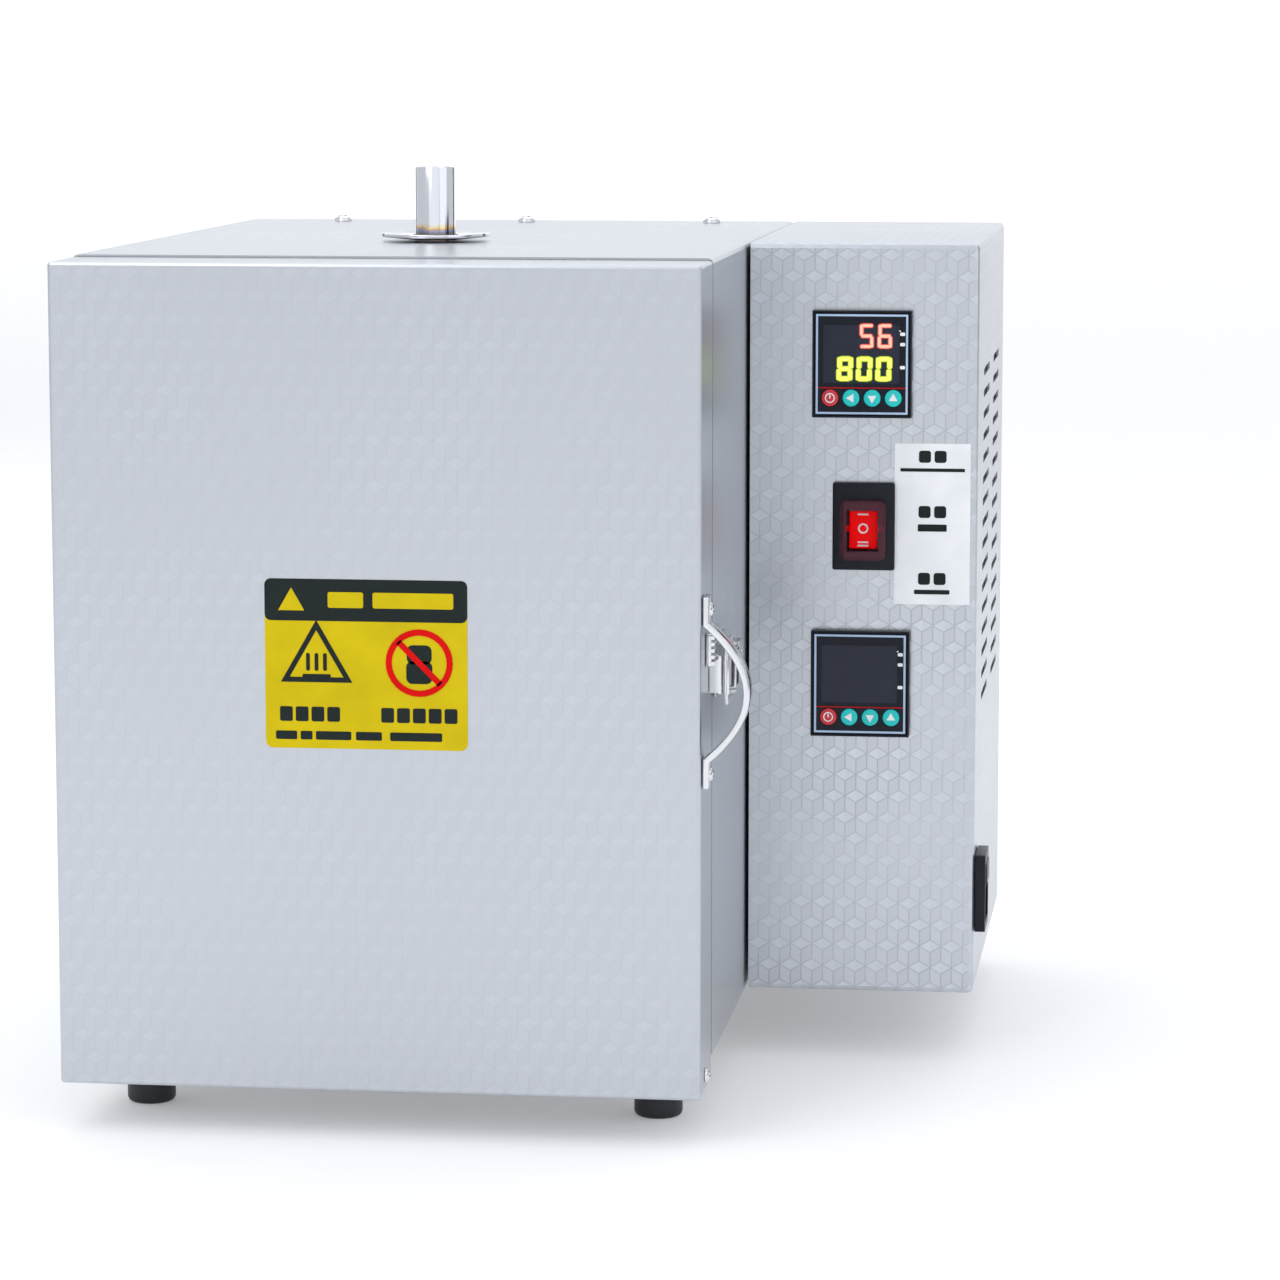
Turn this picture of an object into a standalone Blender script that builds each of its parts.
"""Bench burn-out oven: insulated steel chamber, side-hinged door, flue and a control box on its right.

Sizes are written in millimetres times MM, so every length is in metres. Shapes are placed in the
case's own frame: x = 0 on the case's right side, y = 0 on its front, z = 0 on its underside, with
the front facing -Y. The datum empty moves that frame so that the whole oven stands centred on the
origin.
"""

import math

import bmesh
import bpy
from mathutils import Vector

MM = 0.001

# Driving sizes of the whole oven
CASE_WIDTH = 274 * MM
CASE_DEPTH = 370 * MM
CASE_HEIGHT = 340 * MM
CONTROL_WIDTH = 102.5 * MM
CONTROL_SETBACK = 140 * MM
DOOR_THICKNESS = 42 * MM
DOOR_DROP = 10 * MM  # the door hangs this far below the case
DOOR_TOP_STEP = 1 * MM  # and starts this far below its top
FOOT_HEIGHT = 31 * MM

# Sheet metal and clearances
SHEET = 1.2 * MM
FOLD_RADIUS = SHEET + 1.0 * MM
SHARP_FOLD = SHEET + 0.1 * MM  # where another sheet sits inside the fold
FIT_GAP = 0.3 * MM  # between pieces that touch
DOOR_GAP = 2 * MM  # between the shut door and the case
CONTROL_GAP = 1.5 * MM  # between the case and the control box
CUT_PAST = 1 * MM  # how far a cutter reaches past the surface that it cuts

# Chamber of ceramic fibre boards
SIDE_BOARD = 60 * MM
FLOOR_BOARD = 80 * MM
REAR_BOARD = 70 * MM
SIDE_AIR_GAP = 6 * MM
REAR_AIR_GAP = 8 * MM
ROOF_AIR_GAP = 8 * MM
CHAMBER_HEIGHT = 165 * MM
MOUTH_REVEAL = 3 * MM  # the front frame's hole is this much larger than the chamber
BASE_FLANGE = 12 * MM
HEARTH_THICKNESS = 10 * MM
HEARTH_MARGIN = 3 * MM
HEARTH_FRONT = 30 * MM
HEARTH_REAR_MARGIN = 18 * MM
HEARTH_CHAMFER = 1 * MM

# Heating elements in grooves in the side boards
ELEMENT_RADIUS = 3 * MM
GROOVE_RADIUS = 4.5 * MM
ELEMENT_DEPTH = 3.5 * MM  # from the board's face to the element's middle
ELEMENT_RUNS = 4
ELEMENT_PITCH = 36 * MM
ELEMENT_FRONT = 30 * MM
ELEMENT_REAR_MARGIN = 14 * MM
ELEMENT_TAIL = 5 * MM  # how far the tails reach past the rear board

# Thermocouple
PROBE_RADIUS = 3 * MM
PROBE_REACH = 28 * MM  # into the chamber
PROBE_BELOW_ROOF = 30 * MM
HEAD_RADIUS = 12 * MM
HEAD_LENGTH = 12 * MM
HEAD_BASE = 3 * MM  # thickness of the head's wide base
HEAD_CAP_RADIUS = 9.6 * MM
HEAD_CHAMFER = 1.2 * MM

# Flue
FLUE_LEFT = 5 * MM  # left of the chamber's middle
FLUE_Y = 144 * MM
FLUE_RADIUS = 9 * MM
FLUE_WALL = 1 * MM
FLUE_HEIGHT = 33.2 * MM
FLANGE_RADIUS = 24.3 * MM
FLANGE_THICKNESS = 1.6 * MM

# Feet and screws
FOOT_RADIUS = 10.5 * MM
FOOT_ROUNDING = 2.6 * MM
FOOT_INSET_SIDE = 25 * MM
FOOT_INSET_END = 18 * MM
SCREW_HEAD_RADIUS = 4.4 * MM
SCREW_HEAD_HEIGHT = 2.8 * MM
SCREW_RIM = 0.45  # share of the head's height below its dome
SCREW_SHANK_RADIUS = 2 * MM
SCREW_LENGTH = 7 * MM
SMALL_SCREW = 0.75  # the handle's and door's screws are this much smaller
TOP_SCREW_FROM_LEFT = 50.6 * MM
TOP_SCREW_FROM_RIGHT = 38.8 * MM
TOP_SCREW_FROM_REAR = 22 * MM

# Door
PLUG_CLEARANCE = 2 * MM
PLUG_REACH = 18 * MM
PLUG_CHAMFER = 3 * MM
PANEL_CLEARANCE = 0.5 * MM
DOOR_SCREW_FROM_FRONT = 19 * MM
DOOR_SCREW_RISE = 7 * MM

# Lift-off hinges on the left side
KNUCKLE_RADIUS = 4 * MM
HINGE_STANDOFF = KNUCKLE_RADIUS + 1 * MM  # from the case's side to the axis
HINGE_PIN_RADIUS = 2.2 * MM
HINGE_BORE_RADIUS = HINGE_PIN_RADIUS + FIT_GAP
HINGE_HEIGHT = 50 * MM
HINGE_LEAF = 26 * MM
HINGE_FROM_ENDS = 62 * MM
HINGE_LEAF_START = KNUCKLE_RADIUS + 0.8 * MM  # clears the other leaf's knuckle
HINGE_WEB_REACH = HINGE_LEAF_START + 3.2 * MM  # from the axis along the leaf
HINGE_PIN_ROOT = 12.5 * MM  # the pin starts this far below the knuckles' joint
HINGE_PIN_TIP = 22 * MM  # and ends this far above it

# Bow handle on the door's right side
HANDLE_MIDDLE_Z = 162 * MM
HANDLE_BOW = 55.5 * MM
HANDLE_TAB = 12.5 * MM
HANDLE_RISE = 17 * MM
HANDLE_STRAP = 2 * MM
HANDLE_WIDTH = 12 * MM
HANDLE_FROM_FRONT = 9 * MM  # from the door's front to the strap's middle
HANDLE_STEPS = 14
HANDLE_SCREW_REACH = 6.9 * MM  # from the bow's end along the tab

# Draw latch on the right side
LATCH_Z = 166.5 * MM
LATCH_PIVOT = (6.5 * MM, 10 * MM)  # x and y of the lever's pin
LATCH_CRANK = 5 * MM  # from that pin to the bail's
LATCH_PIN_RADIUS = 1.5 * MM
LATCH_PIN_CLEARANCE = 0.3 * MM
BAIL_WIRE_RADIUS = 1 * MM
BAIL_LENGTH = 30.5 * MM
BAIL_SIDE_GAP = 0.6 * MM  # between the ears and the bail
BAIL_BAR_X = 7.4 * MM
BAIL_CORNER = 2.5 * MM
LEVER_LENGTH = 27 * MM
LEVER_HALF_HEIGHT = 9 * MM
LEVER_X = 8.2 * MM
LEVER_START = 2 * MM  # the lever's plate starts this far in front of its pin
LEVER_SLOT_START = 16.2 * MM
LEVER_SLOT_LENGTH = 7 * MM
LEVER_SLOT_HEIGHT = 1 * MM
LEVER_SLOT_PITCH = 2.4 * MM
CHEEK_REACH = 3 * MM  # past the bail's hole
CHEEK_DEPTH = 2.6 * MM  # from the pins towards the case
LATCH_BASE_FRONT = 6 * MM  # the base starts this far in front of the lever's pin
LATCH_BASE_MARGIN = 3 * MM  # above and below the ears
KEEPER_POST_Y = -12.5 * MM
KEEPER_RISE = 5.6 * MM
KEEPER_HALF_HEIGHT = 8 * MM
KEEPER_LIP = 4.5 * MM
KEEPER_FOOT_GAP = 3 * MM  # from the keeper's foot to the door's back edge

# Controllers in the control box's front
CONTROLLER_X = 52.1 * MM
CONTROLLER_LEVELS = {"upper": CASE_HEIGHT - 53.7 * MM, "lower": CASE_HEIGHT - 198 * MM}
CONTROLLER_WIDTH = 44.5 * MM
CONTROLLER_HEIGHT = 48 * MM
CONTROLLER_PROUD = 5 * MM
BODY_INSET = 1.6 * MM  # from the bezel's edge to the body behind it
CONTROLLER_BODY_DEPTH = 66 * MM
BODY_CLEARANCE = 0.4 * MM
FACE_INSET = 1.2 * MM  # and to the face in front
FACE_THICKNESS = 0.6 * MM
FACE_RECESS = 0.3 * MM
KEY_RADIUS = 3.8 * MM
KEY_CLEARANCE = 0.3 * MM
KEY_PROUD = 0.9 * MM
KEY_LENGTH = 3.3 * MM
KEY_WELL = 3.4 * MM
KEY_PITCH = 9.45 * MM
KEY_DROP = 15.1 * MM  # below the controller's middle
KEY_CHAMFER = 0.4 * MM
KEY_NAMES = ("power", "shift", "down", "up")

# Rocker switch under its clear boot
SWITCH_X = 53.2 * MM
SWITCH_Z = CASE_HEIGHT - 126.7 * MM
SWITCH_WIDTH = 28 * MM
SWITCH_HEIGHT = 39.5 * MM
SWITCH_PROUD = 4 * MM
SWITCH_BODY_WIDTH = SWITCH_WIDTH - 3.5 * MM
SWITCH_BODY_HEIGHT = SWITCH_HEIGHT - 4.5 * MM
SWITCH_BODY_DEPTH = 26 * MM
SWITCH_POCKET_WIDTH = 18 * MM
SWITCH_POCKET_HEIGHT = 25 * MM
SWITCH_POCKET_DEPTH = 13 * MM
ROCKER_WIDTH = 12.5 * MM
ROCKER_HEIGHT = 17 * MM
ROCKER_PIN_RADIUS = 1.4 * MM
ROCKER_PIN_DEPTH = 4 * MM  # from the bezel's face to the rocker's axis
ROCKER_PIN_SEAT = 1.5 * MM  # how far the pin enters the housing on each side
ROCKER_TIP = 1.6 * MM  # how far the rocker's ends stand in front of the bezel
ROCKER_VALLEY = 0.7 * MM  # and its middle
ROCKER_RIM = 3 * MM  # how far its ends reach behind the bezel's face
ROCKER_KEEL_DEPTH = 4.5 * MM
ROCKER_KEEL_HALF = 3 * MM
BOOT_DROP = 1.3 * MM
BOOT_WIDTH = 20.5 * MM
BOOT_HEIGHT = 27 * MM
BOOT_PROUD = 6.5 * MM
BOOT_WALL = 1 * MM

# Mains inlet on the control box's right side
INLET_FRONT = 4 * MM  # behind the control box's front
INLET_BOTTOM = 27.4 * MM
INLET_WIDTH = 30 * MM
INLET_HEIGHT = 35.5 * MM
INLET_PROUD = 5 * MM
INLET_BORDER = 2.2 * MM
INLET_BODY_DEPTH = 24 * MM
INLET_CHAMFER = 1.5 * MM
INLET_FACE_DEPTH = 3 * MM  # the body starts this far behind the flange's face
SOCKET_WIDTH = 24 * MM
SOCKET_HEIGHT = 16.5 * MM
SOCKET_DEPTH = 16 * MM
SOCKET_RISE = 4 * MM

# Vent slots in the control box's right side
VENT_ROWS = 16
VENT_PITCH = 10 * MM
VENT_TOP_Z = CASE_HEIGHT - 59 * MM
VENT_LENGTH = 50 * MM
VENT_HEIGHT = 3.4 * MM
VENT_FIRST_Y = 215 * MM
VENT_COLUMN_SPACING = 87 * MM

# Pieces inside the control box
SINK_WIDTH = 60 * MM
SINK_HEIGHT = 90 * MM
SINK_BASE = 5 * MM
SINK_FIN = 20 * MM
SINK_FINS = 7
SINK_FIN_THICKNESS = 2 * MM
SINK_Z = CASE_HEIGHT - 110 * MM
RELAY_SIZE = (44 * MM, 22 * MM, 58 * MM)
RELAY_CHAMFER = 1.5 * MM
TERMINAL_SIZE = (64 * MM, 20 * MM, 16 * MM)
TERMINAL_WAYS = 6
TERMINAL_FROM_REAR = 90 * MM
TERMINAL_SLOT = 6 * MM
TERMINAL_CHAMFER = 0.5 * MM

# Places that follow from the sizes above
BOARD_LEFT = -CASE_WIDTH + SHEET + SIDE_AIR_GAP
BOARD_RIGHT = -SHEET - SIDE_AIR_GAP
BOARD_FRONT = SHEET + FIT_GAP
REAR_BOARD_BACK = CASE_DEPTH - SHEET - REAR_AIR_GAP
REAR_BOARD_FRONT = REAR_BOARD_BACK - REAR_BOARD
FLOOR_TOP = SHEET + FIT_GAP + FLOOR_BOARD
CHAMBER_LEFT = BOARD_LEFT + SIDE_BOARD
CHAMBER_RIGHT = BOARD_RIGHT - SIDE_BOARD
CHAMBER_BOTTOM = FLOOR_TOP + FIT_GAP
CHAMBER_TOP = CHAMBER_BOTTOM + CHAMBER_HEIGHT
CHAMBER_MIDDLE_X = (CHAMBER_LEFT + CHAMBER_RIGHT) / 2
FLUE_X = CHAMBER_MIDDLE_X - FLUE_LEFT
DOOR_BACK = -DOOR_GAP
DOOR_FRONT = DOOR_BACK - DOOR_THICKNESS
HANDLE_Y = DOOR_FRONT + HANDLE_FROM_FRONT
DOOR_SCREW_Y = DOOR_FRONT + DOOR_SCREW_FROM_FRONT
DOOR_BOTTOM = -DOOR_DROP
DOOR_TOP = CASE_HEIGHT - DOOR_TOP_STEP
CONTROL_LEFT = CONTROL_GAP
CONTROL_RIGHT = CONTROL_GAP + CONTROL_WIDTH
CONTROLLER_FRONT = CONTROL_SETBACK - CONTROLLER_PROUD
SWITCH_FRONT = CONTROL_SETBACK - SWITCH_PROUD
HINGE_X = -CASE_WIDTH - HINGE_STANDOFF
HINGE_Y = -DOOR_GAP / 2
INLET_FACE = CONTROL_RIGHT + INLET_PROUD
HEAD_END = CASE_DEPTH + FIT_GAP + HEAD_LENGTH
LEFT_MOST = HINGE_X - KNUCKLE_RADIUS

for old in list(bpy.data.objects):
    bpy.data.objects.remove(old, do_unlink=True)

parts = bpy.data.collections.new("burn_out_oven")
cutters = bpy.data.collections.new("cutters")
bpy.context.scene.collection.children.link(parts)
bpy.context.scene.collection.children.link(cutters)


def finish(name, colour, roughness, metallic, alpha=1.0):
    """A Principled material of one plain finish."""
    material = bpy.data.materials.new(name)
    material.use_nodes = True
    shader = material.node_tree.nodes["Principled BSDF"]
    shader.inputs["Base Color"].default_value = (*colour, 1)
    shader.inputs["Roughness"].default_value = roughness
    shader.inputs["Metallic"].default_value = metallic
    shader.inputs["Alpha"].default_value = alpha
    return material


PATTERNED = finish("patterned_steel", (0.68, 0.70, 0.73), 0.28, 1.0)
PLAIN_STEEL = finish("plain_steel", (0.60, 0.61, 0.63), 0.35, 1.0)
POLISHED = finish("polished_steel", (0.78, 0.78, 0.79), 0.10, 1.0)
FIBRE = finish("ceramic_fibre", (0.86, 0.84, 0.79), 0.95, 0.0)
CERAMIC = finish("ceramic", (0.80, 0.74, 0.66), 0.75, 0.0)
ELEMENT = finish("resistance_wire", (0.16, 0.14, 0.13), 0.55, 1.0)
RUBBER = finish("black_rubber", (0.02, 0.02, 0.025), 0.65, 0.0)
BLACK = finish("black_plastic", (0.015, 0.016, 0.02), 0.38, 0.0)
FACE = finish("dark_face", (0.012, 0.016, 0.03), 0.15, 0.0)
TEAL = finish("teal_key", (0.02, 0.42, 0.36), 0.35, 0.0)
RED_KEY = finish("red_key", (0.62, 0.04, 0.06), 0.35, 0.0)
ROCKER_RED = finish("red_rocker", (0.72, 0.01, 0.01), 0.30, 0.0)
BOOT = finish("red_boot", (0.22, 0.01, 0.01), 0.12, 0.0, 0.55)
ALUMINIUM = finish("aluminium", (0.72, 0.73, 0.74), 0.40, 1.0)
GREY = finish("grey_plastic", (0.45, 0.46, 0.45), 0.50, 0.0)

datum = bpy.data.objects.new("datum", None)
datum.location = (
    -(LEFT_MOST + INLET_FACE) / 2,
    -(DOOR_FRONT + HEAD_END) / 2,
    FOOT_HEIGHT,
)
parts.objects.link(datum)


def case_position(empty):
    """Where an empty stands in the case's frame."""
    place = Vector((0, 0, 0))
    while empty is not None and empty is not datum:
        place += empty.location
        empty = empty.parent
    return place


def axis_empty(name, position, parent):
    """An empty on a joint's axis; the pieces that turn or slide there are its children."""
    empty = bpy.data.objects.new(name, None)
    empty.empty_display_size = 0.02
    empty.location = Vector(position) - case_position(parent)
    empty.parent = parent
    parts.objects.link(empty)
    return empty


def add_object(name, data, position, material, parent):
    """Link an object to the parts, or to the cutters when it has no material."""
    obj = bpy.data.objects.new(name, data)
    obj.location = Vector(position) - case_position(parent)
    obj.parent = parent
    if material is None:
        cutters.objects.link(obj)
        obj.hide_render = True
        obj.display_type = "WIRE"
    else:
        parts.objects.link(obj)
        data.materials.append(material)
    return obj


def mesh_object(name, builder, position, material, parent):
    """An object whose mesh the builder fills in, centred on its own origin."""
    mesh = bpy.data.meshes.new(name)
    shape = bmesh.new()
    builder(shape)
    shape.to_mesh(mesh)
    shape.free()
    return add_object(name, mesh, position, material, parent)


def box(name, low, high, material=None, parent=datum):
    """A block from its lowest to its highest corner."""
    size = Vector(high) - Vector(low)

    def build(shape):
        bmesh.ops.create_cube(shape, size=1)
        bmesh.ops.scale(shape, vec=size, verts=shape.verts)

    return mesh_object(name, build, (Vector(low) + Vector(high)) / 2, material, parent)


def rod(name, start, end, radius, material=None, parent=datum, segments=16):
    """A round bar between two points."""
    start, end = Vector(start), Vector(end)
    turn = Vector((0, 0, 1)).rotation_difference(end - start).to_matrix()

    def build(shape):
        bmesh.ops.create_cone(
            shape,
            cap_ends=True,
            segments=segments,
            radius1=radius,
            radius2=radius,
            depth=(end - start).length,
        )
        bmesh.ops.rotate(shape, cent=(0, 0, 0), matrix=turn, verts=shape.verts)

    obj = mesh_object(name, build, (start + end) / 2, material, parent)
    smooth(obj)
    return obj


def smooth(obj, degrees=35):
    """Shade round faces smooth and keep real edges sharp."""
    obj.data.shade_smooth()
    obj.data.set_sharp_from_angle(angle=math.radians(degrees))


WALLS = {
    "left": Vector((-1, 0, 0)),
    "right": Vector((1, 0, 0)),
    "front": Vector((0, -1, 0)),
    "back": Vector((0, 1, 0)),
    "bottom": Vector((0, 0, -1)),
    "top": Vector((0, 0, 1)),
}


def folded_sheet(name, low, high, walls, material, parent=datum, fold=FOLD_RADIUS):
    """Sheet metal folded round a block: only the named walls, with a radius on each fold."""
    size = Vector(high) - Vector(low)
    kept = [WALLS[wall] for wall in walls]

    def build(shape):
        bmesh.ops.create_cube(shape, size=1)
        bmesh.ops.scale(shape, vec=size, verts=shape.verts)
        shape.normal_update()
        open_sides = [f for f in shape.faces if max(f.normal.dot(k) for k in kept) < 0.5]
        bmesh.ops.delete(shape, geom=open_sides, context="FACES")
        folds = [edge for edge in shape.edges if len(edge.link_faces) == 2]
        bmesh.ops.bevel(shape, geom=folds, offset=fold, segments=2, affect="EDGES", profile=0.5)

    obj = mesh_object(name, build, (Vector(low) + Vector(high)) / 2, material, parent)
    solid = obj.modifiers.new("sheet", "SOLIDIFY")
    solid.thickness = SHEET
    solid.offset = -1
    solid.use_even_offset = True
    smooth(obj)
    return obj


def boolean(obj, other, operation):
    """A live Boolean with a helper object."""
    modifier = obj.modifiers.new(other.name, "BOOLEAN")
    modifier.operation = operation
    modifier.object = other


def cut(obj, *tools):
    for tool in tools:
        boolean(obj, tool, "DIFFERENCE")


def fuse(obj, *extras):
    for extra in extras:
        boolean(obj, extra, "UNION")


def round_edges(obj, width, segments=2, degrees=40):
    """A bevel on every sharp edge."""
    modifier = obj.modifiers.new("rounded", "BEVEL")
    modifier.width = width
    modifier.segments = segments
    modifier.limit_method = "ANGLE"
    modifier.angle_limit = math.radians(degrees)


def turned(name, profile, position, material, parent=datum, steps=24, direction=(0, 0, 1)):
    """A lathe shape: the profile is (radius, height) pairs from its top to its bottom."""
    mesh = bpy.data.meshes.new(name)
    outline = bmesh.new()
    points = [outline.verts.new((radius, 0, height)) for radius, height in profile]
    for first, second in zip(points, points[1:]):
        outline.edges.new((first, second))
    outline.to_mesh(mesh)
    outline.free()
    obj = add_object(name, mesh, position, material, parent)
    obj.rotation_mode = "QUATERNION"
    obj.rotation_quaternion = Vector((0, 0, 1)).rotation_difference(Vector(direction))
    screw = obj.modifiers.new("lathe", "SCREW")
    screw.axis = "Z"
    screw.angle = math.tau
    screw.steps = steps
    screw.render_steps = steps
    screw.use_merge_vertices = True
    screw.merge_threshold = 0.00001
    screw.use_smooth_shade = True
    return obj


def flat_shape(name, outline, thickness, position, material=None, parent=datum, upright=False):
    """A plate of any outline. It lies in XY, or stands in XZ when upright, at its own middle."""
    curve = bpy.data.curves.new(name, "CURVE")
    curve.dimensions = "2D"
    curve.fill_mode = "BOTH"
    curve.extrude = thickness / 2
    spline = curve.splines.new("POLY")
    spline.points.add(len(outline) - 1)
    for point, (across, along) in zip(spline.points, outline):
        point.co = (across, along, 0, 1)
    spline.use_cyclic_u = True
    obj = add_object(name, curve, position, material, parent)
    if upright:
        obj.rotation_euler.x = math.radians(90)
    return as_mesh(obj)


def wire(name, points, radius, material=None, parent=datum, resolution=2):
    """A round wire along points given in the case's frame."""
    origin = case_position(parent)
    curve = bpy.data.curves.new(name, "CURVE")
    curve.dimensions = "3D"
    curve.bevel_depth = radius
    curve.bevel_resolution = resolution
    curve.use_fill_caps = True
    spline = curve.splines.new("POLY")
    spline.points.add(len(points) - 1)
    for point, place in zip(spline.points, points):
        point.co = (*(Vector(place) - origin), 1)
    return as_mesh(add_object(name, curve, origin, material, parent))


def as_mesh(source):
    """The same shape as a welded mesh, so that it can be cut, joined and shaded."""
    bpy.context.view_layer.update()
    evaluated = source.evaluated_get(bpy.context.evaluated_depsgraph_get())
    mesh = bpy.data.meshes.new_from_object(evaluated)
    welded = bmesh.new()
    welded.from_mesh(mesh)
    bmesh.ops.remove_doubles(welded, verts=welded.verts, dist=0.00001)
    bmesh.ops.recalc_face_normals(welded, faces=welded.faces)
    welded.to_mesh(mesh)
    welded.free()
    name, owner = source.name, source.users_collection[0]
    obj = bpy.data.objects.new(name, mesh)
    owner.objects.link(obj)
    obj.parent = source.parent
    obj.location = source.location
    obj.rotation_euler = source.rotation_euler
    obj.hide_render = source.hide_render
    obj.display_type = source.display_type
    bpy.data.objects.remove(source, do_unlink=True)
    obj.name = name
    smooth(obj)
    return obj


def arc(centre, radius, start, end, steps):
    """Points on an arc in a plane, angles in degrees."""
    for step in range(steps + 1):
        angle = math.radians(start + (end - start) * step / steps)
        yield (centre[0] + radius * math.cos(angle), centre[1] + radius * math.sin(angle))


def pan_screw(name, position, direction, parent=datum, scale=1.0):
    """A pan-head screw whose head stands FIT_GAP off the surface at position."""
    head = SCREW_HEAD_RADIUS * scale
    height = SCREW_HEAD_HEIGHT * scale
    shank = SCREW_SHANK_RADIUS * scale
    dome = [
        (
            head * math.sin(math.radians(a)),
            height * (SCREW_RIM + (1 - SCREW_RIM) * math.cos(math.radians(a))),
        )
        for a in range(0, 91, 18)
    ]
    profile = dome + [(head, 0), (shank, 0), (shank, -SCREW_LENGTH * scale)]
    profile.append((0, -SCREW_LENGTH * scale))
    foot = Vector(position) + Vector(direction) * FIT_GAP
    return turned(name, profile, foot, POLISHED, parent, steps=16, direction=direction)


def screw_hole(name, position, direction, parent=datum, scale=1.0):
    """The clearance hole for pan_screw."""
    reach = Vector(direction) * (SCREW_LENGTH * scale + 2 * CUT_PAST)
    place = Vector(position)
    radius = SCREW_SHANK_RADIUS * scale + FIT_GAP
    return rod(name, place - reach, place + Vector(direction) * CUT_PAST, radius, parent=parent)


def make_case():
    """Wrapper, base, back panel, front frame, flue and the screws that hold the wrapper."""
    case = folded_sheet(
        "outer_case",
        (-CASE_WIDTH, 0, 0),
        (0, CASE_DEPTH, CASE_HEIGHT),
        ("left", "right", "top"),
        PATTERNED,
    )
    inner = SHEET + FIT_GAP
    folded_sheet(
        "base_plate",
        (-CASE_WIDTH + inner, FIT_GAP, 0),
        (-inner, CASE_DEPTH - FIT_GAP, BASE_FLANGE),
        ("bottom", "left", "right"),
        PLAIN_STEEL,
        fold=SHARP_FOLD,
    )
    frame_low = (-CASE_WIDTH + inner + SHEET + FIT_GAP, 0, inner)
    frame = box(
        "front_frame",
        frame_low,
        (-frame_low[0] - CASE_WIDTH, SHEET, CASE_HEIGHT - inner),
        PLAIN_STEEL,
    )
    mouth = box(
        "mouth_cut",
        (CHAMBER_LEFT - MOUTH_REVEAL, -SHEET, CHAMBER_BOTTOM - MOUTH_REVEAL),
        (CHAMBER_RIGHT + MOUTH_REVEAL, 2 * SHEET, CHAMBER_TOP + MOUTH_REVEAL),
    )
    cut(frame, mouth)
    panel = box(
        "back_panel",
        (frame_low[0], CASE_DEPTH - SHEET, inner),
        (-frame_low[0] - CASE_WIDTH, CASE_DEPTH, CASE_HEIGHT - inner),
        PLAIN_STEEL,
    )
    left, right = TOP_SCREW_FROM_LEFT - CASE_WIDTH, -TOP_SCREW_FROM_RIGHT
    for side, x in (("left", left), ("middle", (left + right) / 2), ("right", right)):
        place = (x, CASE_DEPTH - TOP_SCREW_FROM_REAR, CASE_HEIGHT)
        pan_screw(f"top_screw_{side}", place, (0, 0, 1))
        cut(case, screw_hole(f"top_screw_hole_{side}", place, (0, 0, 1)))
    return case, panel


def make_chamber():
    """The five fibre boards and the hearth tile on the floor."""
    roof_top = CASE_HEIGHT - SHEET - ROOF_AIR_GAP
    box(
        "floor_board",
        (BOARD_LEFT, BOARD_FRONT, SHEET + FIT_GAP),
        (BOARD_RIGHT, REAR_BOARD_BACK, FLOOR_TOP),
        FIBRE,
    )
    roof = box(
        "roof_board",
        (BOARD_LEFT, BOARD_FRONT, CHAMBER_TOP + FIT_GAP),
        (BOARD_RIGHT, REAR_BOARD_BACK, roof_top),
        FIBRE,
    )
    walls = {
        "left": box(
            "left_board",
            (BOARD_LEFT, BOARD_FRONT, CHAMBER_BOTTOM),
            (CHAMBER_LEFT, REAR_BOARD_FRONT - FIT_GAP, CHAMBER_TOP),
            FIBRE,
        ),
        "right": box(
            "right_board",
            (CHAMBER_RIGHT, BOARD_FRONT, CHAMBER_BOTTOM),
            (BOARD_RIGHT, REAR_BOARD_FRONT - FIT_GAP, CHAMBER_TOP),
            FIBRE,
        ),
    }
    rear = box(
        "rear_board",
        (BOARD_LEFT, REAR_BOARD_FRONT, CHAMBER_BOTTOM),
        (BOARD_RIGHT, REAR_BOARD_BACK, CHAMBER_TOP),
        FIBRE,
    )
    tile = box(
        "hearth_tile",
        (CHAMBER_LEFT + HEARTH_MARGIN, HEARTH_FRONT, CHAMBER_BOTTOM),
        (
            CHAMBER_RIGHT - HEARTH_MARGIN,
            REAR_BOARD_FRONT - HEARTH_REAR_MARGIN,
            CHAMBER_BOTTOM + HEARTH_THICKNESS,
        ),
        CERAMIC,
    )
    round_edges(tile, HEARTH_CHAMFER, segments=1)
    return roof, walls, rear


def element_path(x):
    """Runs along Y joined by half-circle bends, with both tails leaving through the rear board."""
    bend = ELEMENT_PITCH / 2
    top = (CHAMBER_BOTTOM + CHAMBER_TOP) / 2 + ELEMENT_PITCH * (ELEMENT_RUNS - 1) / 2
    tail = REAR_BOARD_BACK + ELEMENT_TAIL
    front = ELEMENT_FRONT + bend
    rear = REAR_BOARD_FRONT - ELEMENT_REAR_MARGIN - bend
    points = [(tail, top)]
    for run in range(ELEMENT_RUNS - 1):
        middle = top - ELEMENT_PITCH * run - bend
        at_front = run % 2 == 0
        centre = (front if at_front else rear, middle)
        sweep = (90, 270) if at_front else (90, -90)
        points.extend(arc(centre, bend, *sweep, 8))
    points.append((tail, top - ELEMENT_PITCH * (ELEMENT_RUNS - 1)))
    return [(x, y, z) for y, z in points]


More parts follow.
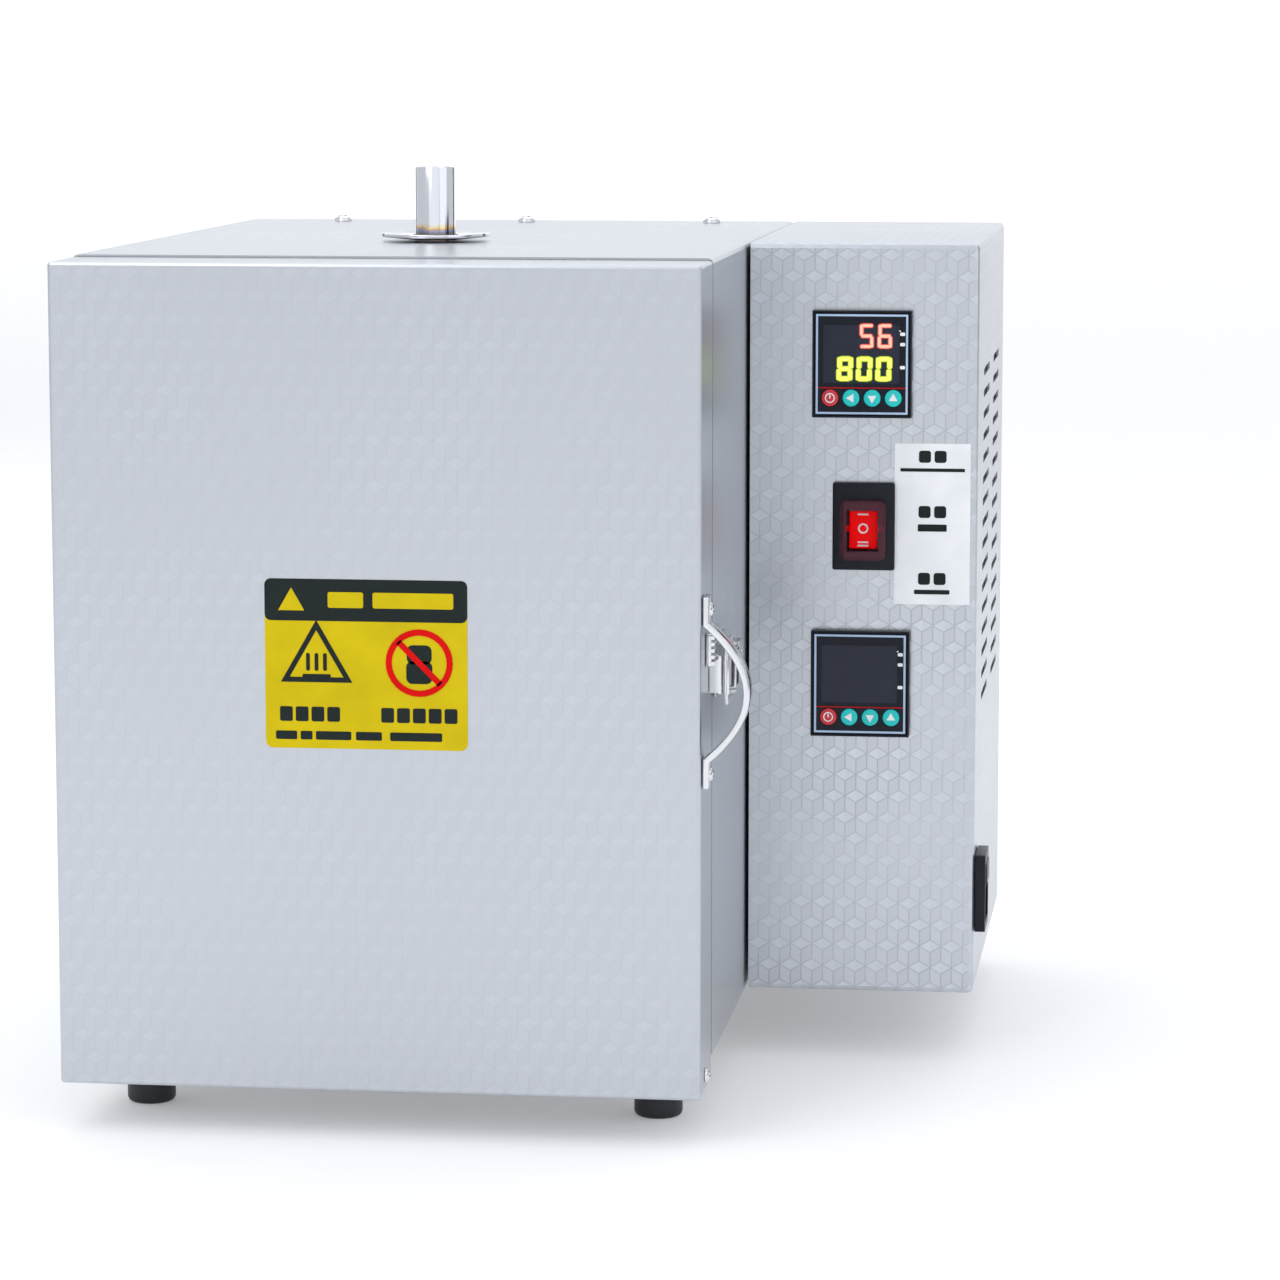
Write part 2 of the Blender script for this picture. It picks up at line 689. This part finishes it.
def make_elements(walls, rear):
    """A heating element in a round groove in each side board."""
    faces = {"left": CHAMBER_LEFT - ELEMENT_DEPTH, "right": CHAMBER_RIGHT + ELEMENT_DEPTH}
    for side, x in faces.items():
        path = element_path(x)
        wire(f"{side}_heating_element", path, ELEMENT_RADIUS, ELEMENT)
        beyond = [(x, path[0][1] + CUT_PAST, path[0][2])] + path[1:-1]
        beyond.append((x, path[-1][1] + CUT_PAST, path[-1][2]))
        groove = wire(f"{side}_groove", beyond, GROOVE_RADIUS)
        cut(walls[side], groove)
        cut(rear, groove)


def make_thermocouple(rear, panel):
    """Ceramic sheath through the rear board, with its terminal head outside the back panel."""
    z = CHAMBER_TOP - PROBE_BELOW_ROOF
    middle = (CHAMBER_MIDDLE_X, 0, z)
    tip = (middle[0], REAR_BOARD_FRONT - PROBE_REACH, z)
    hole = rod(
        "probe_hole",
        (middle[0], REAR_BOARD_FRONT - CUT_PAST, z),
        (middle[0], CASE_DEPTH + CUT_PAST, z),
        PROBE_RADIUS + FIT_GAP,
    )
    cut(rear, hole)
    cut(panel, hole)
    rod("thermocouple_probe", tip, (middle[0], CASE_DEPTH, z), PROBE_RADIUS, CERAMIC)
    head = [(0, HEAD_LENGTH), (HEAD_CAP_RADIUS - HEAD_CHAMFER, HEAD_LENGTH)]
    head += [(HEAD_CAP_RADIUS, HEAD_LENGTH - HEAD_CHAMFER), (HEAD_CAP_RADIUS, HEAD_BASE)]
    head += [(HEAD_RADIUS, HEAD_BASE), (HEAD_RADIUS, 0), (0, 0)]
    place = (middle[0], CASE_DEPTH + FIT_GAP, z)
    turned("thermocouple_head", head, place, BLACK, direction=(0, 1, 0))


def make_flue(case, roof):
    """A polished tube through the roof, with a thin round flange on the case."""
    low = CHAMBER_TOP + FIT_GAP
    hole = rod(
        "flue_hole",
        (FLUE_X, FLUE_Y, low - 2 * CUT_PAST),
        (FLUE_X, FLUE_Y, CASE_HEIGHT + 2 * CUT_PAST),
        FLUE_RADIUS + FIT_GAP,
        segments=24,
    )
    cut(case, hole)
    cut(roof, hole)
    high = CASE_HEIGHT + FLUE_HEIGHT
    tube = rod(
        "flue_tube", (FLUE_X, FLUE_Y, low), (FLUE_X, FLUE_Y, high), FLUE_RADIUS, POLISHED, segments=24
    )
    bore = rod(
        "flue_bore",
        (FLUE_X, FLUE_Y, low - CUT_PAST),
        (FLUE_X, FLUE_Y, high + CUT_PAST),
        FLUE_RADIUS - FLUE_WALL,
        segments=24,
    )
    cut(tube, bore)
    inner = FLUE_RADIUS + FIT_GAP
    rim = FLANGE_RADIUS - FLANGE_THICKNESS / 2
    ring = [(inner, FLANGE_THICKNESS), (rim, FLANGE_THICKNESS)]
    ring += [(FLANGE_RADIUS, FLANGE_THICKNESS / 2), (rim, 0), (inner, 0), ring[0]]
    turned("flue_flange", ring, (FLUE_X, FLUE_Y, CASE_HEIGHT + FIT_GAP), POLISHED, steps=32)


def make_feet():
    """Four moulded rubber feet under the case."""
    length = FOOT_HEIGHT - FIT_GAP
    corner = FOOT_RADIUS - FOOT_ROUNDING
    profile = [(0, 0), (FOOT_RADIUS, 0)]
    profile += [
        (corner + FOOT_ROUNDING * x, -length + FOOT_ROUNDING + FOOT_ROUNDING * z)
        for x, z in arc((0, 0), 1, 0, -90, 4)
    ]
    profile.append((0, -length))
    for side, x in (("left", FOOT_INSET_SIDE - CASE_WIDTH), ("right", -FOOT_INSET_SIDE)):
        for end, y in (("front", FOOT_INSET_END), ("rear", CASE_DEPTH - FOOT_INSET_END)):
            turned(f"foot_{end}_{side}", profile, (x, y, -FIT_GAP), RUBBER)


def make_hinges(door):
    """Lift-off hinges: the case's leaf holds the pin, and the door's knuckle drops over it."""
    plate_out = -CASE_WIDTH - FIT_GAP - SHEET
    half = HINGE_HEIGHT / 2
    split = FIT_GAP / 2
    heights = {"upper": CASE_HEIGHT - HINGE_FROM_ENDS, "lower": HINGE_FROM_ENDS}
    for level, z in heights.items():
        for owner, parent in (("case", datum), ("door", door)):
            side = 1 if owner == "case" else -1
            name = f"{level}_hinge_{owner}_leaf"
            reach = sorted((HINGE_Y + side * HINGE_LEAF_START, HINGE_Y + side * HINGE_LEAF))
            leaf = box(
                name,
                (plate_out, reach[0], z - half),
                (plate_out + SHEET, reach[1], z + half),
                PLAIN_STEEL,
                parent,
            )
            low, high = (z - half, z - split) if owner == "case" else (z + split, z + half)
            web_y = sorted((HINGE_Y, HINGE_Y + side * HINGE_WEB_REACH))
            web = box(
                f"{name}_web",
                (HINGE_X + KNUCKLE_RADIUS / 2, web_y[0], low),
                (plate_out + SHEET, web_y[1], high),
                parent=parent,
            )
            knuckle = rod(
                f"{name}_knuckle",
                (HINGE_X, HINGE_Y, low),
                (HINGE_X, HINGE_Y, high),
                KNUCKLE_RADIUS,
                parent=parent,
            )
            fuse(leaf, web, knuckle)
            if owner == "case":
                pin = rod(
                    f"{name}_pin",
                    (HINGE_X, HINGE_Y, z - HINGE_PIN_ROOT),
                    (HINGE_X, HINGE_Y, z + HINGE_PIN_TIP),
                    HINGE_PIN_RADIUS,
                )
                fuse(leaf, pin)
            else:
                bore = rod(
                    f"{name}_bore",
                    (HINGE_X, HINGE_Y, low - CUT_PAST),
                    (HINGE_X, HINGE_Y, high + CUT_PAST),
                    HINGE_BORE_RADIUS,
                    parent=parent,
                )
                cut(leaf, bore)


def make_door(door):
    """Outer pan, inner panel and the stepped fibre block that plugs the chamber's mouth."""
    pan = folded_sheet(
        "door_outer_pan",
        (-CASE_WIDTH, DOOR_FRONT, DOOR_BOTTOM),
        (0, DOOR_BACK, DOOR_TOP),
        ("front", "left", "right", "top", "bottom"),
        PATTERNED,
        door,
        fold=SHARP_FOLD,
    )
    inner = SHEET + FIT_GAP
    low = (-CASE_WIDTH + inner, DOOR_BACK - FIT_GAP - SHEET, DOOR_BOTTOM + inner)
    high = (-inner, DOOR_BACK - FIT_GAP, DOOR_TOP - inner)
    panel = box("door_inner_panel", low, high, PLAIN_STEEL, door)
    plug_low = (
        CHAMBER_LEFT + PLUG_CLEARANCE,
        low[1] - FIT_GAP - CUT_PAST,
        CHAMBER_BOTTOM + PLUG_CLEARANCE,
    )
    plug_high = (CHAMBER_RIGHT - PLUG_CLEARANCE, PLUG_REACH, CHAMBER_TOP - PLUG_CLEARANCE)
    hole = box(
        "plug_hole",
        (plug_low[0] - PANEL_CLEARANCE, low[1] - CUT_PAST, plug_low[2] - PANEL_CLEARANCE),
        (plug_high[0] + PANEL_CLEARANCE, high[1] + CUT_PAST, plug_high[2] + PANEL_CLEARANCE),
        parent=door,
    )
    cut(panel, hole)
    block = box(
        "door_insulation",
        (low[0], DOOR_FRONT + inner, low[2]),
        (high[0], low[1] - FIT_GAP, high[2]),
        FIBRE,
        door,
    )
    plug = box("door_plug", plug_low, plug_high, parent=door)
    round_edges(plug, PLUG_CHAMFER, segments=1)
    fuse(block, plug)
    place = (0, DOOR_SCREW_Y, DOOR_BOTTOM + DOOR_SCREW_RISE)
    pan_screw("door_side_screw", place, (1, 0, 0), door, SMALL_SCREW)
    hole = screw_hole("door_screw_hole", place, (1, 0, 0), door, SMALL_SCREW)
    cut(pan, hole)
    cut(block, hole)
    return pan, block


def make_handle(door, pan, block):
    """A polished strap bowed out from the door's side, with a screw through each tab."""
    half = HANDLE_BOW / 2
    path = [(0, -half - HANDLE_TAB)]
    for step in range(HANDLE_STEPS + 1):
        t = step / HANDLE_STEPS
        path.append((HANDLE_RISE * math.sin(math.pi * t), -half + HANDLE_BOW * t))
    path.append((0, half + HANDLE_TAB))

    def offset(distance):
        """The path moved sideways by distance, square to its own direction."""
        moved = []
        for index, point in enumerate(path):
            before = path[max(index - 1, 0)]
            after = path[min(index + 1, len(path) - 1)]
            along = Vector(after) - Vector(before)
            along.normalize()
            moved.append((point[0] + along.y * distance, point[1] - along.x * distance))
        return moved

    outline = offset(0) + list(reversed(offset(HANDLE_STRAP)))
    place = (FIT_GAP, HANDLE_Y, HANDLE_MIDDLE_Z)
    handle = flat_shape("door_handle", outline, HANDLE_WIDTH, place, POLISHED, door, upright=True)
    for level, side in (("upper", 1), ("lower", -1)):
        z = HANDLE_MIDDLE_Z + side * (half + HANDLE_SCREW_REACH)
        through = (FIT_GAP + HANDLE_STRAP, HANDLE_Y, z)
        pan_screw(f"handle_screw_{level}", through, (1, 0, 0), door, SMALL_SCREW)
        hole = screw_hole(f"handle_hole_{level}", through, (1, 0, 0), door, SMALL_SCREW)
        cut(handle, hole)
        cut(pan, hole)
        cut(block, hole)


def make_latch(door):
    """A draw latch: lever and bail on the case, and the hooked keeper on the door."""
    pin_x, pin_y = LATCH_PIVOT
    lever_axis = axis_empty("latch_lever_axis", (pin_x, pin_y, LATCH_Z), datum)
    bail_y = pin_y + LATCH_CRANK
    bail_axis = axis_empty("latch_bail_axis", (pin_x, bail_y, LATCH_Z), lever_axis)
    plate = FIT_GAP + SHEET

    # base: a plate, two ears that stand outside the lever, and the riveted pin through them
    ear_inner = LEVER_HALF_HEIGHT + FIT_GAP * 2
    ear_radius = 2 * LATCH_PIN_RADIUS
    base_half = ear_inner + LATCH_BASE_MARGIN
    base = box(
        "latch_base",
        (FIT_GAP, pin_y - LATCH_BASE_FRONT, LATCH_Z - base_half),
        (plate, pin_y + LEVER_LENGTH, LATCH_Z + base_half),
        PLAIN_STEEL,
    )
    ear = [(FIT_GAP + SHEET / 2, pin_y + ear_radius)]
    ear.append((FIT_GAP + SHEET / 2, pin_y - ear_radius))
    ear.extend(arc((pin_x, pin_y), ear_radius, -90, 90, 8))
    for side in (-1, 1):
        z = LATCH_Z + side * (ear_inner + SHEET / 2)
        fuse(base, flat_shape(f"latch_ear_{side}", ear, SHEET, (0, 0, z)))
    reach = ear_inner + SHEET * 1.5
    pin = rod(
        "latch_pin",
        (pin_x, pin_y, LATCH_Z - reach),
        (pin_x, pin_y, LATCH_Z + reach),
        LATCH_PIN_RADIUS,
    )
    fuse(base, pin)

    # lever: a plate with a cheek on each side, drilled for the pin and for the bail
    start = pin_y - LEVER_START
    lever = box(
        "latch_lever",
        (LEVER_X, start, LATCH_Z - LEVER_HALF_HEIGHT),
        (LEVER_X + SHEET, start + LEVER_LENGTH, LATCH_Z + LEVER_HALF_HEIGHT),
        POLISHED,
        lever_axis,
    )
    cheek_end = bail_y + CHEEK_REACH
    cheek = [(LEVER_X + SHEET / 2, start), (LEVER_X + SHEET / 2, cheek_end)]
    inboard = pin_x - CHEEK_DEPTH
    cheek += [(pin_x, cheek_end), (inboard, bail_y), (inboard, pin_y)]
    cheek.append((pin_x, pin_y - CHEEK_REACH))
    for side in (-1, 1):
        z = LATCH_Z + side * (LEVER_HALF_HEIGHT - SHEET / 2)
        fuse(lever, flat_shape(f"lever_cheek_{side}", cheek, SHEET, (0, 0, z), parent=lever_axis))
    tall = LEVER_HALF_HEIGHT + CUT_PAST
    drills = (
        ("lever_pin_hole", pin_y, LATCH_PIN_RADIUS + LATCH_PIN_CLEARANCE),
        ("lever_bail_hole", bail_y, BAIL_WIRE_RADIUS + LATCH_PIN_CLEARANCE),
    )
    for name, y, radius in drills:
        low, high = (pin_x, y, LATCH_Z - tall), (pin_x, y, LATCH_Z + tall)
        cut(lever, rod(name, low, high, radius, parent=lever_axis))
    for row in (0, 1):
        y = start + LEVER_SLOT_START
        z = LATCH_Z + LEVER_SLOT_HEIGHT + LEVER_SLOT_PITCH * row
        slot = box(
            f"lever_slot_{row}",
            (LEVER_X - CUT_PAST, y, z),
            (LEVER_X + SHEET + CUT_PAST, y + LEVER_SLOT_LENGTH, z + LEVER_SLOT_HEIGHT),
            parent=lever_axis,
        )
        cut(lever, slot)

    # bail: a wire loop whose ends turn in through the cheeks
    reach_y = bail_y - BAIL_LENGTH
    corner = BAIL_CORNER
    tall = ear_inner + SHEET + BAIL_SIDE_GAP + BAIL_WIRE_RADIUS
    stub = LEVER_HALF_HEIGHT - SHEET - FIT_GAP * 2
    side_y = [bail_y - corner + corner * c for c, _ in arc((0, 0), 1, 0, 90, 3)]
    side_z = [tall - corner + corner * s for _, s in arc((0, 0), 1, 0, 90, 3)]
    loop = [(bail_y, stub)] + list(zip(side_y, side_z))
    loop += [(reach_y + corner - corner * s, tall - corner + corner * c)
             for c, s in arc((0, 0), 1, 0, 90, 3)]
    loop += [(y, -z) for y, z in reversed(loop)]
    slope = (BAIL_BAR_X - pin_x) / BAIL_LENGTH
    points = [(pin_x + (bail_y - y) * slope, y, LATCH_Z + z) for y, z in loop]
    wire("latch_bail", points, BAIL_WIRE_RADIUS, POLISHED, bail_axis)

    # keeper: one strip folded out into a post with a lip that points away from the case
    post, lip = KEEPER_POST_Y, KEEPER_POST_Y - KEEPER_LIP
    foot_end = DOOR_BACK - KEEPER_FOOT_GAP
    strip = [(FIT_GAP, foot_end), (FIT_GAP, post - SHEET), (KEEPER_RISE - SHEET, post - SHEET)]
    strip += [(KEEPER_RISE - SHEET, lip), (KEEPER_RISE, lip), (KEEPER_RISE, post)]
    strip += [(plate, post), (plate, foot_end)]
    place = (0, 0, LATCH_Z)
    flat_shape("latch_keeper", strip, 2 * KEEPER_HALF_HEIGHT, place, POLISHED, door)


def make_control_box():
    """Folded cover with its cut-outs and vents, and the chassis that closes its other sides."""
    cover = folded_sheet(
        "control_cover",
        (CONTROL_LEFT, CONTROL_SETBACK, 0),
        (CONTROL_RIGHT, CASE_DEPTH, CASE_HEIGHT),
        ("front", "right", "top", "bottom"),
        PATTERNED,
    )
    inset = FOLD_RADIUS + FIT_GAP  # keeps clear of the cover's inner fold radius
    folded_sheet(
        "control_chassis",
        (CONTROL_LEFT, CONTROL_SETBACK + 2 * inset, inset),
        (CONTROL_RIGHT - inset, CASE_DEPTH, CASE_HEIGHT - inset),
        ("left", "back"),
        PLAIN_STEEL,
        fold=SHARP_FOLD,
    )
    slot = box(
        "vent_slots",
        (CONTROL_RIGHT - 2 * SHEET, VENT_FIRST_Y - VENT_LENGTH / 2, VENT_TOP_Z - VENT_HEIGHT),
        (CONTROL_RIGHT + SHEET, VENT_FIRST_Y + VENT_LENGTH / 2, VENT_TOP_Z),
    )
    repeats = (
        ("rows", VENT_ROWS, (0, 0, -VENT_PITCH)),
        ("columns", 2, (0, VENT_COLUMN_SPACING, 0)),
    )
    for name, count, step in repeats:
        array = slot.modifiers.new(name, "ARRAY")
        array.count = count
        array.use_relative_offset = False
        array.use_constant_offset = True
        array.constant_offset_displace = step
    cut(cover, slot)
    return cover


def centred_box(name, x, z, width, height, front, back, material=None, parent=datum):
    """A block given by the middle and size of its front, and its depth range."""
    low = (x - width / 2, front, z - height / 2)
    high = (x + width / 2, back, z + height / 2)
    return box(name, low, high, material, parent)


def make_controllers(cover):
    """Two panel controllers, each with a bezel, a dark face and four keys that press in."""

    def size(inset):
        """Width and height at this inset from the bezel's edge."""
        return CONTROLLER_WIDTH - 2 * inset, CONTROLLER_HEIGHT - 2 * inset

    for level, z in CONTROLLER_LEVELS.items():
        place = (CONTROLLER_X, z)
        window = centred_box(
            f"{level}_window",
            *place,
            *size(BODY_INSET - BODY_CLEARANCE),
            CONTROL_SETBACK - CUT_PAST,
            CONTROL_SETBACK + SHEET + CUT_PAST,
        )
        cut(cover, window)
        housing = centred_box(
            f"{level}_controller_housing",
            *place,
            *size(0),
            CONTROLLER_FRONT,
            CONTROL_SETBACK - FIT_GAP,
            BLACK,
        )
        body = centred_box(
            f"{level}_controller_body",
            *place,
            *size(BODY_INSET),
            CONTROL_SETBACK - CUT_PAST,
            CONTROL_SETBACK + CONTROLLER_BODY_DEPTH,
        )
        fuse(housing, body)
        face_front = CONTROLLER_FRONT + FACE_RECESS
        face_back = face_front + FACE_THICKNESS
        pocket = centred_box(
            f"{level}_pocket",
            *place,
            *size(FACE_INSET - FIT_GAP),
            CONTROLLER_FRONT - CUT_PAST,
            face_back + FIT_GAP,
        )
        cut(housing, pocket)
        name = f"{level}_controller_face"
        face = centred_box(name, *place, *size(FACE_INSET), face_front, face_back, FACE)
        for index, key in enumerate(KEY_NAMES):
            x = CONTROLLER_X + (index - (len(KEY_NAMES) - 1) / 2) * KEY_PITCH
            key_z = z - KEY_DROP
            well = rod(
                f"{level}_well_{key}",
                (x, CONTROLLER_FRONT - CUT_PAST, key_z),
                (x, CONTROLLER_FRONT + KEY_WELL, key_z),
                KEY_RADIUS + KEY_CLEARANCE,
            )
            cut(housing, well)
            cut(face, well)
            outer = face_front - KEY_PROUD
            colour = RED_KEY if key == "power" else TEAL
            slide = axis_empty(f"{level}_{key}_slide", (x, outer, key_z), datum)
            cap = rod(
                f"{level}_key_{key}",
                (x, outer, key_z),
                (x, outer + KEY_LENGTH, key_z),
                KEY_RADIUS,
                colour,
                slide,
            )
            round_edges(cap, KEY_CHAMFER, segments=1)


def make_switch(cover):
    """Three-position rocker: housing, red rocker on its cross pin, and the clear boot over it."""
    place = (SWITCH_X, SWITCH_Z)
    body = (SWITCH_BODY_WIDTH, SWITCH_BODY_HEIGHT)
    hole = [size + 2 * BODY_CLEARANCE for size in body]
    behind = CONTROL_SETBACK + SHEET + CUT_PAST
    cut(cover, centred_box("switch_window", *place, *hole, CONTROL_SETBACK - CUT_PAST, behind))
    housing = centred_box(
        "switch_housing",
        *place,
        SWITCH_WIDTH,
        SWITCH_HEIGHT,
        SWITCH_FRONT,
        CONTROL_SETBACK - FIT_GAP,
        BLACK,
    )
    back = CONTROL_SETBACK + SWITCH_BODY_DEPTH
    fuse(housing, centred_box("switch_body", *place, *body, CONTROL_SETBACK - CUT_PAST, back))
    pocket = centred_box(
        "switch_pocket",
        SWITCH_X,
        SWITCH_Z - BOOT_DROP,
        SWITCH_POCKET_WIDTH,
        SWITCH_POCKET_HEIGHT,
        SWITCH_FRONT - CUT_PAST,
        SWITCH_FRONT + SWITCH_POCKET_DEPTH,
    )
    cut(housing, pocket)
    axis = (SWITCH_X, SWITCH_FRONT + ROCKER_PIN_DEPTH, SWITCH_Z - BOOT_DROP)
    pivot = axis_empty("rocker_axis", axis, datum)
    # side view of the rocker, (z, y) from its axis: two front slopes that meet in a valley
    half = ROCKER_HEIGHT / 2
    front = -ROCKER_PIN_DEPTH
    shape = [(-half, front - ROCKER_TIP), (0, front - ROCKER_VALLEY), (half, front - ROCKER_TIP)]
    shape += [(half, front + ROCKER_RIM), (ROCKER_KEEL_HALF, ROCKER_KEEL_DEPTH)]
    shape += [(-ROCKER_KEEL_HALF, ROCKER_KEEL_DEPTH), (-half, front + ROCKER_RIM)]
    rocker = flat_shape("rocker", shape, ROCKER_WIDTH, axis, ROCKER_RED, pivot)
    # the outline's own X is the oven's Z, its own Y stays Y, and it is extruded along X
    rocker.rotation_euler = (0, math.radians(-90), 0)
    reach = SWITCH_POCKET_WIDTH / 2 + ROCKER_PIN_SEAT
    ends = [(axis[0] + side * reach, axis[1], axis[2]) for side in (-1, 1)]
    fuse(rocker, rod("rocker_pin", *ends, ROCKER_PIN_RADIUS, parent=pivot))
    wide = reach + FIT_GAP
    ends = [(axis[0] + side * wide, axis[1], axis[2]) for side in (-1, 1)]
    cut(housing, rod("rocker_pin_hole", *ends, ROCKER_PIN_RADIUS + FIT_GAP))
    boot = centred_box(
        "switch_boot",
        SWITCH_X,
        SWITCH_Z - BOOT_DROP,
        BOOT_WIDTH,
        BOOT_HEIGHT,
        SWITCH_FRONT - FIT_GAP - BOOT_PROUD,
        SWITCH_FRONT - FIT_GAP,
        BOOT,
    )
    hollow = centred_box(
        "boot_hollow",
        SWITCH_X,
        SWITCH_Z - BOOT_DROP,
        BOOT_WIDTH - 2 * BOOT_WALL,
        BOOT_HEIGHT - 2 * BOOT_WALL,
        SWITCH_FRONT - FIT_GAP - BOOT_PROUD + BOOT_WALL,
        SWITCH_FRONT,
    )
    cut(boot, hollow)


def make_inlet(cover):
    """Mains inlet: a chamfered flange outside the cover, its body inside, and the socket."""
    y = CONTROL_SETBACK + INLET_FRONT + INLET_WIDTH / 2
    z = INLET_BOTTOM + INLET_HEIGHT / 2

    def side_box(name, width, height, x_low, x_high, middle_z=z, material=None):
        low = (x_low, y - width / 2, middle_z - height / 2)
        high = (x_high, y + width / 2, middle_z + height / 2)
        return box(name, low, high, material)

    inlet = side_box(
        "power_inlet",
        INLET_WIDTH,
        INLET_HEIGHT,
        CONTROL_RIGHT + FIT_GAP,
        INLET_FACE,
        material=BLACK,
    )
    round_edges(inlet, INLET_CHAMFER, segments=1)
    width, height = INLET_WIDTH - 2 * INLET_BORDER, INLET_HEIGHT - 2 * INLET_BORDER
    deep = CONTROL_RIGHT - INLET_BODY_DEPTH
    fuse(inlet, side_box("inlet_body", width, height, deep, INLET_FACE - INLET_FACE_DEPTH))
    opening = (width + 2 * BODY_CLEARANCE, height + 2 * BODY_CLEARANCE)
    cut(cover, side_box("inlet_window", *opening, CONTROL_RIGHT - 2 * SHEET, CONTROL_RIGHT + CUT_PAST))
    socket_z = INLET_BOTTOM + SOCKET_RISE + SOCKET_HEIGHT / 2
    floor = INLET_FACE - SOCKET_DEPTH
    size = (SOCKET_WIDTH, SOCKET_HEIGHT)
    cut(inlet, side_box("socket", *size, floor, INLET_FACE + CUT_PAST, middle_z=socket_z))


def comb(width, depth, base, teeth, tooth_width):
    """Outline of a bar with teeth that stand out along +Y."""
    pitch = (width - tooth_width) / (teeth - 1)
    points = [(-width / 2, 0)]
    for index in range(teeth):
        left = -width / 2 + pitch * index
        if index:
            points.append((left, base))
        points += [(left, depth), (left + tooth_width, depth)]
        if index < teeth - 1:
            points.append((left + tooth_width, base))
    points.append((width / 2, 0))
    return points


def make_electronics():
    """Heat sink and relay on the chassis' back wall, and a terminal block on the floor."""
    middle_x = (CONTROL_LEFT + CONTROL_RIGHT) / 2
    wall = CASE_DEPTH - SHEET - FIT_GAP
    depth = SINK_BASE + SINK_FIN
    outline = comb(SINK_WIDTH, depth, SINK_BASE, SINK_FINS, SINK_FIN_THICKNESS)
    sink_front = wall - depth
    place = (middle_x, sink_front, SINK_Z)
    flat_shape("heat_sink", outline, SINK_HEIGHT, place, ALUMINIUM)
    relay_front = sink_front - FIT_GAP - RELAY_SIZE[1]
    relay = centred_box(
        "solid_state_relay",
        middle_x,
        SINK_Z,
        RELAY_SIZE[0],
        RELAY_SIZE[2],
        relay_front,
        sink_front - FIT_GAP,
        GREY,
    )
    round_edges(relay, RELAY_CHAMFER, segments=1)
    length, width, height = TERMINAL_SIZE
    y = CASE_DEPTH - TERMINAL_FROM_REAR
    tooth = (length - TERMINAL_SLOT * (TERMINAL_WAYS - 1)) / TERMINAL_WAYS
    outline = comb(length, height, height / 2, TERMINAL_WAYS, tooth)
    low = SHEET + FIT_GAP
    terminals = flat_shape(
        "terminal_block", outline, width, (middle_x, y, low), GREY, upright=True
    )
    round_edges(terminals, TERMINAL_CHAMFER, segments=1)


outer_case, back_panel = make_case()
roof_board, side_boards, rear_board = make_chamber()
make_elements(side_boards, rear_board)
make_thermocouple(rear_board, back_panel)
make_flue(outer_case, roof_board)
make_feet()
door_axis = axis_empty("door_axis", (HINGE_X, HINGE_Y, 0), datum)
make_hinges(door_axis)
door_pan, door_block = make_door(door_axis)
make_handle(door_axis, door_pan, door_block)
make_latch(door_axis)
control_cover = make_control_box()
make_controllers(control_cover)
make_switch(control_cover)
make_inlet(control_cover)
make_electronics()
